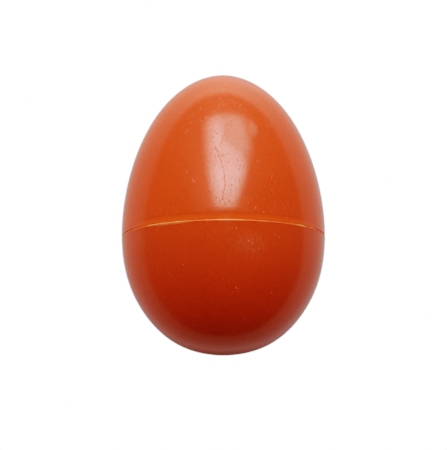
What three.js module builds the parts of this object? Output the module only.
// Egg shaker: a hollow moulded egg in two cemented half shells, with loose steel shot inside.
// Millimetres, +Z up. The egg stands on the small flat at its blunt end: the origin is the centre
// of that flat, and the pointed end is at the top.
import * as THREE from 'three';

// ---------------------------------------------------------------- driving dimensions (mm)

// Outer skin. The egg is a body of revolution, and its outline is given by the support function
//   H(psi) = sum of SUPPORT[k] * cos(k * psi),
// the distance from the origin to the tangent plane whose normal makes the angle psi with +Z.
// Reducing H by a constant moves the surface straight inwards by that much, so the inside of
// the wall and the limits of the shot's travel come from the same curve.
const SUPPORT = [
  24.7953, 27.7798, 4.0007, 0.7398, -0.2481, -0.1209, -0.0021,
  0.0764, -0.0054, -0.0193, -0.0009, 0.0040, 0.0008,
];

const FOOT_R = 1.9;          // radius of the flat the egg stands on
const WALL = 1.8;            // shell wall
const SEAM_Z = 23.85;        // parting line between the shells, close to the egg's widest part
const RIM_UPPER_R = 20.52;   // outer radius of the upper shell at the parting line
const RIM_LOWER_R = 20.57;   // the lower shell's rim stands a hair proud of the upper one
const RIM_BLEND = 1.5;       // height over which each rim runs back into the egg curve

// Lap joint: the lower shell's spigot stands inside a rebate in the upper shell.
const LIP_T = 0.85;          // thickness of the upper shell's outer lip
const LAP_GAP = 0.06;        // radial clearance between spigot and lip
const SPIGOT_H = 2.4;        // height of the spigot above the parting line
const REBATE_H = 2.6;        // height of the rebate above the parting line
const RIM_GAP = 0.04;        // each rim face's distance from the parting plane
const CHAMFER_H = 0.35;      // bevel on the spigot's outer top edge: height
const CHAMFER_W = 0.2;       // and radial width

// V groove round the outside, filled by the bead of cement squeezed out of the joint.
const GROOVE_HALF_H = 0.22;  // half height of the groove at the skin
const GROOVE_DEPTH = 0.34;
const BEAD_HALF_H = 0.17;
const BEAD_CROWN = 0.03;     // how far the bead stands proud of the lower rim
const BEAD_ROOT_GAP = 0.03;  // between the bead's inner edge and the bottom of the groove
const BEAD_ROOT_HALF_H = 0.02;
const BEAD_EDGE_INSET = 0.01;      // bead's top and bottom edges, inside the upper rim radius
const BEAD_SHOULDER = 0.7;         // height of the shoulders, as a share of BEAD_HALF_H
const BEAD_LOWER_DROP = 0.01;      // how far each shoulder lies inside the crown radius
const BEAD_UPPER_DROP = 0.03;

// Radii shared by the parts of the joint
const GROOVE_R = RIM_UPPER_R - GROOVE_DEPTH;
const LIP_INNER_R = RIM_UPPER_R - LIP_T;
const SPIGOT_R = LIP_INNER_R - LAP_GAP;

// Steel shot
const SHOT_R = 1.5;
const SHOT_SEAT_GAP = 0.06;  // between a resting pellet and the faceted bowl
const SHOT_TOP_GAP = 0.15;   // between a fully raised pellet and the dome
const RISE_PER_MM = 100;     // the travel is rounded down to 1/100 mm

// [x, y] of each pellet in the bowl, seen from above: one loose layer, at least 3.1 mm apart.
const SHOT_XY = [
  [-0.75, -0.34], [1.34, 2.01], [2.33, -0.96], [-1.74, 2.64], [0.25, -3.32], [-3.82, 0.29],
  [-2.83, -2.69], [4.42, 1.39], [0.35, 4.99], [3.32, -3.94], [3.42, 4.37], [5.41, -1.59],
  [-4.81, 3.27], [-1.84, -5.67], [-2.73, 5.62], [-5.91, -2.06], [1.24, -6.29], [-6.90, 0.92],
  [-4.91, -5.04], [6.50, 3.74], [7.49, 0.76], [2.44, 7.35], [6.40, -4.57], [-0.64, 7.97],
  [4.32, -6.92], [-5.81, 6.25], [-0.84, -8.64], [5.51, 6.72], [8.48, -2.22], [-7.89, 3.90],
  [-3.92, -8.02], [-8.98, -1.43], [-7.99, -4.41], [-3.72, 8.60], [2.23, -9.27], [9.58, 3.11],
  [-9.98, 1.55], [-7.00, -7.39], [1.45, 10.33], [8.59, 6.09], [7.39, -7.55], [10.57, 0.13],
  [4.53, 9.70], [9.48, -5.20], [-1.63, 10.95], [-8.88, 6.88], [5.31, -9.90], [-2.92, -11.00],
  [-6.79, 9.23], [-11.07, -3.78], [-10.97, 4.53], [11.56, -2.85], [-6.00, -10.37], [-4.71, 11.58],
  [3.18, -12.27], [12.65, 2.48], [10.47, -8.18],
];

// Mesh fineness
const AROUND = 60;           // facets round the axis, shared by both shells and the bead
const STEPS_UPPER = 20;      // steps along the outline of each surface
const STEPS_LOWER = 18;
const SHOT_DETAIL = 1;       // subdivisions of each pellet's icosahedron
const BAND_H = 2.6;          // the evenly stepped skin outline stops this far from the seam
const BAND_STEPS = [0, 0.1, 0.55, 1.1, 1.8];   // skin points, by distance from the groove's edge

const MATERIALS = {
  shell: new THREE.MeshStandardMaterial({ color: 0xd0480f, roughness: 0.28, metalness: 0 }),
  bead: new THREE.MeshStandardMaterial({ color: 0xe8884a, roughness: 0.4, metalness: 0 }),
  steel: new THREE.MeshStandardMaterial({ color: 0xb9bcc0, roughness: 0.3, metalness: 1 }),
};

// ---------------------------------------------------------------- the egg curve

// Point of the curve lying `inset` inside the skin, whose normal is at angle psi from +Z.
function eggPoint(psi, inset) {
  let support = -inset;
  let slope = 0;
  SUPPORT.forEach((coefficient, k) => {
    support += coefficient * Math.cos(k * psi);
    slope -= coefficient * k * Math.sin(k * psi);
  });
  return {
    r: support * Math.sin(psi) + slope * Math.cos(psi),
    z: support * Math.cos(psi) - slope * Math.sin(psi),
  };
}

// Solve f(psi) = target by bisection, for f that rises or falls steadily between low and high.
function solve(f, target, low, high) {
  const rising = f(high) > f(low);
  for (let i = 0; i < 60; i++) {
    const middle = (low + high) / 2;
    if ((f(middle) < target) === rising) low = middle;
    else high = middle;
  }
  return (low + high) / 2;
}

const psiAtHeight = (z, inset) => solve((psi) => eggPoint(psi, inset).z, z, 0, Math.PI);

// A radius is met twice, once on the dome and once on the bowl.
const psiOnDome = (r, inset) => solve((psi) => eggPoint(psi, inset).r, r, 0, Math.PI / 2);
const psiOnBowl = (r, inset) => solve((psi) => eggPoint(psi, inset).r, r, Math.PI / 2, Math.PI);

// ---------------------------------------------------------------- outlines, as [r, z] points

// Points from psi0 to psi1 inclusive; those at the poles are put exactly on the axis.
function curveRun(psi0, psi1, inset, steps) {
  return Array.from({ length: steps + 1 }, (_, i) => {
    const { r, z } = eggPoint(psi0 + ((psi1 - psi0) * i) / steps, inset);
    return [r > 1e-9 ? r : 0, z];
  });
}

const skinRadius = (z) => eggPoint(psiAtHeight(z, 0), 0).r;

// Skin points going away from the groove's edge: side is +1 above the seam, -1 below it.
function rimBand(side) {
  return BAND_STEPS.map((distance) => {
    const z = SEAM_Z + side * (GROOVE_HALF_H + distance);
    return [skinRadius(z), z];
  });
}

// Near the parting line the skin eases from the egg curve to the rim radius.
function easeToRim(points, rimR) {
  const shift = rimR - skinRadius(SEAM_Z);
  return points.map(([r, z]) => {
    const nearness = Math.max(0, 1 - Math.abs(z - SEAM_Z) / RIM_BLEND);
    return [r + shift * nearness * nearness * (3 - 2 * nearness), z];
  });
}

// Revolve an outline about +Z. The outline runs up the outside, so its faces point outwards.
function revolve(outline) {
  const points = outline.map(([r, z]) => new THREE.Vector2(r, z));
  return new THREE.LatheGeometry(points, AROUND).rotateX(Math.PI / 2);
}

// ---------------------------------------------------------------- the pieces

function piece(name, geometry, material) {
  const mesh = new THREE.Mesh(geometry, material);
  mesh.name = name;
  return mesh;
}

// From the foot up the outside, over the rim and spigot, and back down the inside.
function lowerShell() {
  const bandPsi = psiAtHeight(SEAM_Z - BAND_H, 0);
  const outside = [
    [FOOT_R, 0],
    ...curveRun(psiOnBowl(FOOT_R, 0), bandPsi, 0, STEPS_LOWER).slice(1),
    ...rimBand(-1).reverse(),
  ];
  const spigotTop = SEAM_Z + SPIGOT_H;
  return piece('lower_shell', revolve([
    [0, 0],
    ...easeToRim(outside, RIM_LOWER_R),
    [GROOVE_R, SEAM_Z - RIM_GAP],
    [SPIGOT_R, SEAM_Z - RIM_GAP],
    [SPIGOT_R, spigotTop - CHAMFER_H],
    [SPIGOT_R - CHAMFER_W, spigotTop],
    ...curveRun(psiAtHeight(spigotTop, WALL), Math.PI, WALL, STEPS_LOWER),
  ]), MATERIALS.shell);
}

// From the top of the inside down to the rebate and lip, then up the outside to the tip.
function upperShell() {
  const rebateTop = SEAM_Z + REBATE_H;
  const outside = [
    ...rimBand(1),
    ...curveRun(psiAtHeight(SEAM_Z + BAND_H, 0), 0, 0, STEPS_UPPER),
  ];
  return piece('upper_shell', revolve([
    ...curveRun(0, psiAtHeight(rebateTop, WALL), WALL, STEPS_UPPER),
    [LIP_INNER_R, rebateTop],
    [LIP_INNER_R, SEAM_Z + RIM_GAP],
    [GROOVE_R, SEAM_Z + RIM_GAP],
    ...easeToRim(outside, RIM_UPPER_R),
  ]), MATERIALS.shell);
}

// A thin ring lying in the V groove, its crown just proud of the skin.
function cementBead() {
  const rootR = GROOVE_R + BEAD_ROOT_GAP;
  const edgeR = RIM_UPPER_R - BEAD_EDGE_INSET;
  const crownR = RIM_LOWER_R + BEAD_CROWN;
  const shoulderH = BEAD_HALF_H * BEAD_SHOULDER;
  return piece('seam_cement_bead', revolve([
    [rootR, SEAM_Z - BEAD_ROOT_HALF_H],
    [edgeR, SEAM_Z - BEAD_HALF_H],
    [crownR - BEAD_LOWER_DROP, SEAM_Z - shoulderH],
    [crownR, SEAM_Z],
    [crownR - BEAD_UPPER_DROP, SEAM_Z + shoulderH],
    [edgeR, SEAM_Z + BEAD_HALF_H],
    [rootR, SEAM_Z + BEAD_ROOT_HALF_H],
    [rootR, SEAM_Z - BEAD_ROOT_HALF_H],
  ]), MATERIALS.bead);
}

// A pellet rests on the bowl under its own place in the layer, and can rise straight up to the
// dome above it; userData.rise is that travel.
function shotPellet([x, y], index) {
  const axisDistance = Math.hypot(x, y);
  const seatInset = WALL + SHOT_R + SHOT_SEAT_GAP;
  const topInset = WALL + SHOT_R + SHOT_TOP_GAP;
  const lowZ = eggPoint(psiOnBowl(axisDistance, seatInset), seatInset).z;
  const highZ = eggPoint(psiOnDome(axisDistance, topInset), topInset).z;
  const name = `shot_pellet_${String(index + 1).padStart(2, '0')}`;
  const mesh = piece(name, new THREE.IcosahedronGeometry(SHOT_R, SHOT_DETAIL), MATERIALS.steel);
  mesh.position.set(x, y, lowZ);
  mesh.userData.rise = Math.floor((highZ - lowZ) * RISE_PER_MM) / RISE_PER_MM;
  return mesh;
}

const eggShaker = new THREE.Group();
eggShaker.add(lowerShell(), upperShell(), cementBead(), ...SHOT_XY.map(shotPellet));

export default eggShaker;
